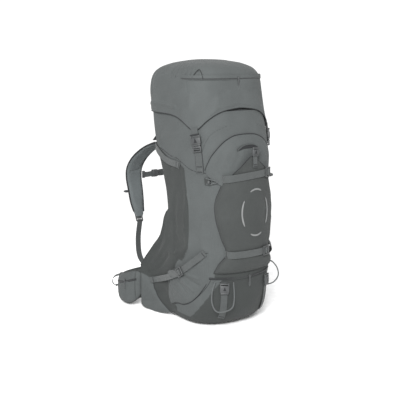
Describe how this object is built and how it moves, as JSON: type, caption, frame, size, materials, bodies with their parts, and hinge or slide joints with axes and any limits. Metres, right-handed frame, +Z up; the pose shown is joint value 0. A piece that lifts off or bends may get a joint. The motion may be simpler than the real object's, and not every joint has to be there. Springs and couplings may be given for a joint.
{
  "type": "hiking backpack",
  "caption": "Tall top-loading trekking pack with a hinged lid, front stretch pocket, side pockets, sliding harness and padded hip belt, standing upright.",
  "frame": {"origin": "centre of the bounding box on the floor under the base", "axes": "+Z up, -Y out of the bag's front, +Y towards the wearer, +X to the wearer's right when the pack is worn"},
  "size_m": [0.401, 0.539, 0.788],
  "materials": {
    "pack_fabric": "matt ripstop nylon",
    "dark_fabric": "matt heavier nylon",
    "stretch_fabric": "matt stretch woven nylon",
    "spacer_mesh": "open spacer mesh over foam",
    "webbing": "woven nylon webbing",
    "plastic": "moulded acetal, satin",
    "zip": "coated coil zip",
    "wire": "drawn alloy wire"
  },
  "bodies": {
    "bag": {"front_panel": "pack_fabric", "lower_front_door": "dark_fabric", "side_panel_left": "pack_fabric", "side_panel_right": "pack_fabric", "back_fabric": "dark_fabric", "base_panel": "dark_fabric", "drawcord_collar": "dark_fabric", "frame_wire": "wire", "compartment_divider": "dark_fabric", "back_foam": "spacer_mesh", "lumbar_pad": "spacer_mesh", "haul_loop": "webbing", "dome_panel": "pack_fabric", "stretch_pocket": "stretch_fabric", "upper_front_strap": "webbing", "lower_front_strap": "webbing", "pocket_closure": "plastic", "bungee_tie_off_left": "plastic", "bungee_tie_off_right": "plastic", "sleeping_pad_strap_left": "webbing", "sleeping_pad_strap_right": "webbing", "ice_axe_loop_left": "webbing", "ice_axe_loop_right": "webbing", "side_pocket_left": "stretch_fabric", "side_pocket_right": "stretch_fabric", "upper_side_strap_left": "webbing", "upper_side_strap_right": "webbing", "lower_side_strap_left": "webbing", "lower_side_strap_right": "webbing", "bottom_zip_track": "zip", "lid_strap_left": "webbing", "lid_strap_right": "webbing"},
    "lid": {"lid_hood": "pack_fabric", "lid_skirt": "pack_fabric", "lid_floor": "dark_fabric", "lid_zip_track": "zip", "lid_buckle_socket_left": "plastic", "lid_buckle_socket_right": "plastic"},
    "lid_plug_left": {"lid_buckle_plug_left": "plastic"},
    "lid_plug_right": {"lid_buckle_plug_right": "plastic"},
    "lid_slider": {"lid_zip_slider": "plastic"},
    "bottom_slider": {"bottom_zip_slider": "plastic"},
    "yoke": {"yoke": "spacer_mesh", "load_lifter_left": "webbing", "load_lifter_right": "webbing", "lower_webbing_left": "webbing", "lower_webbing_right": "webbing"},
    "strap_left": {"shoulder_strap_left": "spacer_mesh"},
    "strap_right": {"shoulder_strap_right": "spacer_mesh"},
    "sternum": {"sternum_strap_left": "webbing", "sternum_strap_right": "webbing"},
    "sternum_plug": {"sternum_plug": "plastic"},
    "wing_left": {"hip_wing_left": "spacer_mesh", "belt_pocket_left": "pack_fabric", "belt_webbing_left": "webbing"},
    "wing_right": {"hip_wing_right": "spacer_mesh", "belt_pocket_right": "pack_fabric", "belt_webbing_right": "webbing"},
    "belt_slider_left": {"belt_zip_slider_left": "plastic"},
    "belt_slider_right": {"belt_zip_slider_right": "plastic"}
  },
  "joints": [
    {"name": "lid_hinge", "type": "hinge", "parent": "bag", "child": "lid", "pos_m": [0, 0.105, 0.636], "axis": [-1, 0, 0], "range_deg": [0, 100]},
    {"name": "lid_buckle_left", "type": "slide", "parent": "bag", "child": "lid_plug_left", "axis": [0.0487, -0.1113, -0.9926], "range_m": [0, 0.026]},
    {"name": "lid_buckle_right", "type": "slide", "parent": "bag", "child": "lid_plug_right", "axis": [-0.0487, -0.1113, -0.9926], "range_m": [0, 0.026]},
    {"name": "lid_zip", "type": "hinge", "parent": "lid", "child": "lid_slider", "pos_m": [0, 0.273, 0.737], "axis": [0, 0, 1], "range_deg": [-7.5, 7.5]},
    {"name": "bottom_zip", "type": "hinge", "parent": "bag", "child": "bottom_slider", "pos_m": [0, -0.047, 0.162], "axis": [0, 0, 1], "range_deg": [-17, 17]},
    {"name": "yoke_slide", "type": "slide", "parent": "bag", "child": "yoke", "axis": [0, 0.3134, 0.9496], "range_m": [-0.025, 0.025]},
    {"name": "strap_left_hinge", "type": "hinge", "parent": "yoke", "child": "strap_left", "pos_m": [-0.047, 0.062, 0.5], "axis": [1, 0, 0], "range_deg": [0, 25], "deforming": ["load_lifter_left", "lower_webbing_left"]},
    {"name": "strap_right_hinge", "type": "hinge", "parent": "yoke", "child": "strap_right", "pos_m": [0.047, 0.062, 0.5], "axis": [1, 0, 0], "range_deg": [0, 25], "deforming": ["load_lifter_right", "lower_webbing_right"]},
    {"name": "sternum_slide", "type": "slide", "parent": "strap_left", "child": "sternum", "axis": [0, 0, 1], "range_m": [-0.025, 0.025]},
    {"name": "sternum_buckle", "type": "slide", "parent": "sternum", "child": "sternum_plug", "axis": [1, 0, 0], "range_m": [0, 0.018]},
    {"name": "wing_left_hinge", "type": "hinge", "parent": "bag", "child": "wing_left", "pos_m": [-0.138, 0.073, 0.1], "axis": [0, 0, 1], "range_deg": [0, 40]},
    {"name": "wing_right_hinge", "type": "hinge", "parent": "bag", "child": "wing_right", "pos_m": [0.138, 0.073, 0.1], "axis": [0, 0, -1], "range_deg": [0, 40]},
    {"name": "belt_zip_left", "type": "hinge", "parent": "wing_left", "child": "belt_slider_left", "pos_m": [-0.046, 0.165, 0.084], "axis": [0, 0, 1], "range_deg": [-15, 15]},
    {"name": "belt_zip_right", "type": "hinge", "parent": "wing_right", "child": "belt_slider_right", "pos_m": [0.046, 0.165, 0.084], "axis": [0, 0, 1], "range_deg": [-15, 15]}
  ],
  "couplings": [
    {"joint": "strap_right_hinge", "follows": "strap_left_hinge", "ratio": 1}
  ]
}
